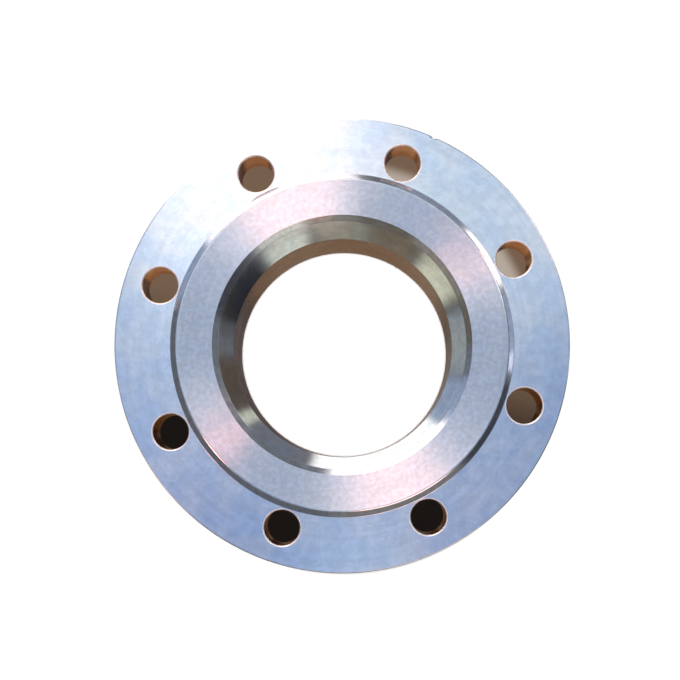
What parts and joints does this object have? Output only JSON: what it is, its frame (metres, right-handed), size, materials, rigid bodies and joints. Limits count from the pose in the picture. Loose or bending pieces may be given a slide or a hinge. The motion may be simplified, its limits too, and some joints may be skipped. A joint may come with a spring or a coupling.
{
  "type": "weld neck pipe flange",
  "caption": "Raised-face weld neck pipe flange: bolting ring on a tapered hub with a bevelled weld end and a straight bore with a flared mouth.",
  "frame": {"origin": "on the pipe axis, in the plane of the weld end's root face, on which the flange stands", "axes": "+Z along the pipe axis from the weld end to the gasket face; +X midway between two neighbouring bolt holes"},
  "size_m": [0.285, 0.285, 0.055],
  "materials": {
    "machined_steel": "machined, unpainted, lightly oiled"
  },
  "bodies": {
    "root": {"flange_forging": "machined_steel"}
  },
  "joints": []
}
